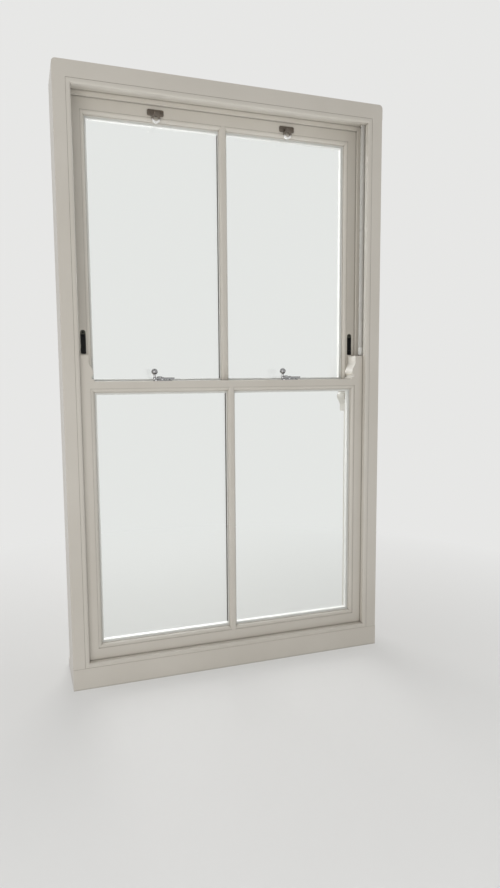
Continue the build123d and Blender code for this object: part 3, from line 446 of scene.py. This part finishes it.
RESTRICTOR_SCREW_SPACING = 0.058
RESTRICTOR_WIDTH = 0.016
case_x = case_high.x - RESTRICTOR_WIDTH / 2
case_z = (case_low.z + case_high.z) / 2
screws("restrictor_screws", "upper_sash",
       pair([((case_x, case_low.y, case_z + way * RESTRICTOR_SCREW_SPACING / 2), TO_ROOM)
             for way in (-1, 1)]),
       black)

FASTENER_LENGTH = 0.058
FASTENER_SCREW_REACH = 0.022
FASTENER_PLATE = 0.003
base_low, base_high = bounds_of("fastener_bases")
base_x = base_high.x - FASTENER_LENGTH / 2
base_y = (base_low.y + base_high.y) / 2
screws("fastener_screws", "lower_sash",
       [((side * base_x + way * FASTENER_SCREW_REACH, base_y, base_low.z + FASTENER_PLATE), UP)
        for side in (-1, 1) for way in (-1, 1)], screw_steel)

KEEP_SCREW_INSET = 0.0034
KEEP_PLATE = 0.0025
keep_low, keep_high = bounds_of("fastener_keeps")
keep_y = (keep_low.y + keep_high.y) / 2
keep_z = keep_low.z + KEEP_PLATE
keep_span = keep_high.x - base_x
screws("keep_screws", "upper_sash",
       [((side * base_x + keep_span - KEEP_SCREW_INSET, keep_y, keep_z), UP) for side in (-1, 1)],
       screw_steel)

TUBE_SCREW_DROP = 0.009
TUBE_SCREW_SINK = 0.0004
for sash in ("lower", "upper"):
    tube_low, tube_high = bounds_of(f"balance_tube_{sash}_right")
    tube_y = (tube_low.y + tube_high.y) / 2
    seat = (tube_low.x + TUBE_SCREW_SINK, tube_y, tube_high.z - TUBE_SCREW_DROP)
    screws(f"{sash}_balance_screws", "frame", pair([(seat, INWARD)]), screw_steel)


# Sealant: a fillet round each light, between the glass and the timber
MOULD_WIDTH = 0.013
GLASS_EDGE_GAP = 0.0025
BAR_WIDTH = 0.025
SEALANT_LEG = 0.0016
QUARTER_TURN = Matrix.Rotation(radians(90.0), 4, "X")


def fillet(bm, low, high, leg):
    """A mitred strip round an upright rectangle, flat behind and outside, and sloped between."""
    span = Matrix.Diagonal((*(high - low).xz, 1.0, 1.0))
    shape = Matrix.Translation((low + high) / 2) @ QUARTER_TURN @ span
    corners = bmesh.ops.create_grid(bm, x_segments=1, y_segments=1, size=0.5, matrix=shape)["verts"]
    light = corners[0].link_faces[0]
    strip = bmesh.ops.inset_region(bm, faces=[light], thickness=leg, use_even_offset=True,
                                   use_boundary=True)["faces"]
    bmesh.ops.delete(bm, geom=[light], context="FACES")
    raised = bmesh.ops.extrude_face_region(bm, geom=strip, use_keep_orig=True)["geom"]
    front = [item for item in raised if isinstance(item, bmesh.types.BMVert)]
    outside = [vertex for vertex in front
               if min(abs(vertex.co.x - low.x), abs(vertex.co.x - high.x)) < leg / 2
               and min(abs(vertex.co.z - low.z), abs(vertex.co.z - high.z)) < leg / 2]
    bmesh.ops.translate(bm, verts=outside, vec=(0.0, -leg, 0.0))


for sash in ("lower", "upper"):
    pane_low, pane_high = bounds_of(f"{sash}_glass")
    edge = MOULD_WIDTH - GLASS_EDGE_GAP
    bm = bmesh.new()
    for side in (-1, 1):
        near, far = sorted((side * BAR_WIDTH / 2, side * (pane_high.x - edge)))
        fillet(bm, Vector((near, pane_low.y, pane_low.z + edge)),
               Vector((far, pane_low.y, pane_high.z - edge)), SEALANT_LEG)
    finished(bm, f"{sash}_sealant", f"{sash}_sash", sealant)


# Edge spacers, with rounded shoulders, and a hair clear of both panes
SPACER_CLEAR = 0.0002
SPACER_SHOULDER = 0.0012
SPACER_SIDE = 0.001
SAME_DEPTH = 1e-5
ONE_FACE = radians(1.0)
SHARP = radians(45.0)
for sash in ("lower", "upper"):
    solid = nodes[f"{sash}_spacer"]
    low, high = bounds_of(f"{sash}_spacer")
    bm = bmesh.new()
    bm.from_mesh(solid.data)
    bmesh.ops.remove_doubles(bm, verts=bm.verts, dist=SAME_SPOT)
    bmesh.ops.dissolve_limit(bm, angle_limit=ONE_FACE, verts=bm.verts, edges=bm.edges)
    middle = (low.y + high.y) / 2
    thinner = 1.0 - 2 * SPACER_CLEAR / (high.y - low.y)
    bmesh.ops.translate(bm, verts=bm.verts, vec=(0.0, -middle, 0.0))
    bmesh.ops.scale(bm, verts=bm.verts, vec=(1.0, thinner, 1.0))
    bmesh.ops.translate(bm, verts=bm.verts, vec=(0.0, middle, 0.0))
    shoulders = [edge for edge in bm.edges
                 if edge.is_manifold and edge.calc_face_angle() > SHARP
                 and abs(edge.verts[0].co.y - edge.verts[1].co.y) < SAME_DEPTH
                 and all(low.x + SPACER_SIDE < vertex.co.x < high.x - SPACER_SIDE
                         for vertex in edge.verts)]
    bmesh.ops.bevel(bm, geom=shoulders, offset=SPACER_SHOULDER, offset_type="OFFSET", segments=2,
                    profile=0.5, affect="EDGES", material=-1)
    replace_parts(finished(bm, f"{sash}_edge_spacer", f"{sash}_sash", spacer_white), f"{sash}_spacer")


# Draught pile, let into the back of the staff beads and standing against the lower sash
PILE_WIDTH = 0.004
PILE_LENGTH = 0.0013
PILE_TIP = 0.45
PILE_INSET = 0.006
bead_low, bead_high = bounds_of("staff_bead_right")
foot = bounds_of("staff_bead_bottom")[1].z
bm = bmesh.new()
for side in (-1, 1):
    x = side * (bead_low.x + PILE_INSET)
    size = (PILE_WIDTH, PILE_LENGTH, bead_high.z - foot)
    middle = Vector((x, bead_high.y + PILE_LENGTH / 2, (bead_high.z + foot) / 2))
    shape = Matrix.Translation(middle) @ Matrix.Diagonal((*size, 1.0))
    strip = bmesh.ops.create_cube(bm, size=1.0, matrix=shape)["verts"]
    tips = [vertex for vertex in strip if vertex.co.y > middle.y]
    bmesh.ops.scale(bm, verts=tips, vec=(PILE_TIP, 1.0, 1.0), space=Matrix.Translation(-middle))
finished(bm, "draught_pile", "frame", pile)


# Camera, at the photograph's place: its focal length in pixels of a picture 888 high,
# and its turns in degrees
PICTURE_HEIGHT = 888.0
FOCAL_LENGTH = 655.0
SENSOR_HEIGHT = 36.0
NEAREST = 0.01
FACE_Y = -0.1015
CAMERA_BACK = 1.9632
CAMERA_PLACE = (-0.6360, FACE_Y - CAMERA_BACK, 0.9541)
CAMERA_TURN = (83.858, 0.367, -19.372)
camera_data = bpy.data.cameras.new("camera")
camera_data.sensor_fit = "VERTICAL"
camera_data.sensor_height = SENSOR_HEIGHT
camera_data.lens = SENSOR_HEIGHT * FOCAL_LENGTH / PICTURE_HEIGHT
camera_data.clip_start = NEAREST
camera = bpy.data.objects.new("camera", camera_data)
bpy.context.scene.collection.objects.link(camera)
camera.location = CAMERA_PLACE
camera.rotation_euler = [radians(turn) for turn in CAMERA_TURN]
bpy.context.scene.camera = camera

# Floor, which fades into the backdrop far off
FLOOR_SIZE = 14.0
FADE_FROM = 0.4
FADE_TO = 1.9
FADE_LEAST = 0.5
bm = bmesh.new()
bmesh.ops.create_grid(bm, x_segments=4, y_segments=4, size=FLOOR_SIZE)
mesh = bpy.data.meshes.new("floor")
bm.to_mesh(mesh)
bm.free()
floor = bpy.data.objects.new("floor", mesh)
bpy.context.scene.collection.objects.link(floor)
floor_finish = Finish("pale_floor", FLOOR_PALE, roughness=0.7)
floor_finish.tint(floor_finish.noise(scale=1.5, detail=3.0), FLOOR_PALE,
                  shaded_by(FLOOR_PALE, FLOOR_SHADE))
away = floor_finish.node("ShaderNodeVectorMath", operation="LENGTH")
floor_finish.join(floor_finish.place(), away.inputs[0])
far_off = floor_finish.node("ShaderNodeEmission")
far_off.inputs["Color"].default_value = (*BACKDROP_PALE, 1.0)
fade = floor_finish.band(away.outputs["Value"], FADE_FROM, FADE_TO, FADE_LEAST, 1.0)
floor_finish.surface(fade, far_off.outputs["Emission"])
mesh.materials.append(floor_finish.material)


# Light: a weak lamp on the room's side, daylight behind the window, and a plain sky
ROOM_TONE = (1.0, 0.965, 0.92)
DAY_TONE = (0.98, 0.99, 1.0)
SKY_TONE = (1.0, 0.98, 0.95)
SKY_STRENGTH = 0.36


def area_light(name, place, aim, size, power, color):
    data = bpy.data.lights.new(name, "AREA")
    data.shape = "RECTANGLE"
    data.size, data.size_y = size
    data.energy = power
    data.color = color
    lamp = bpy.data.objects.new(name, data)
    bpy.context.scene.collection.objects.link(lamp)
    lamp.location = place
    lamp.rotation_euler = (Vector(aim) - Vector(place)).to_track_quat("-Z", "Y").to_euler()
    lamp.visible_camera = False
    lamp.visible_transmission = False


area_light("room_light", place=(-1.5, -2.6, 0.8), aim=(0.0, 0.0, 1.0), size=(1.8, 1.2),
           power=17.0, color=ROOM_TONE)
area_light("daylight", place=(0.12, 2.0, 1.7), aim=(0.1, 0.0, 1.0), size=(1.2, 2.1),
           power=41.0, color=DAY_TONE)

world = bpy.data.worlds.new("studio")
bpy.context.scene.world = world
world.use_nodes = True
sky = world.node_tree
shine = sky.nodes["Background"]
shine.inputs["Color"].default_value = (*SKY_TONE, 1.0)
shine.inputs["Strength"].default_value = SKY_STRENGTH
shown = sky.nodes.new("ShaderNodeBackground")
shown.inputs["Color"].default_value = (*BACKDROP_PALE, 1.0)
shown.inputs["Strength"].default_value = 1.0
path = sky.nodes.new("ShaderNodeLightPath")
either = sky.nodes.new("ShaderNodeMath")
either.operation = "MAXIMUM"
any_of = sky.nodes.new("ShaderNodeMath")
any_of.operation = "MAXIMUM"
mix = sky.nodes.new("ShaderNodeMixShader")
sky.links.new(path.outputs["Is Camera Ray"], either.inputs[0])
sky.links.new(path.outputs["Is Glossy Ray"], either.inputs[1])
sky.links.new(either.outputs[0], any_of.inputs[0])
sky.links.new(path.outputs["Is Transmission Ray"], any_of.inputs[1])
sky.links.new(any_of.outputs[0], mix.inputs[0])
sky.links.new(shine.outputs[0], mix.inputs[1])
sky.links.new(shown.outputs[0], mix.inputs[2])
sky.links.new(mix.outputs[0], sky.nodes["World Output"].inputs["Surface"])

bpy.context.scene.view_settings.view_transform = "Standard"
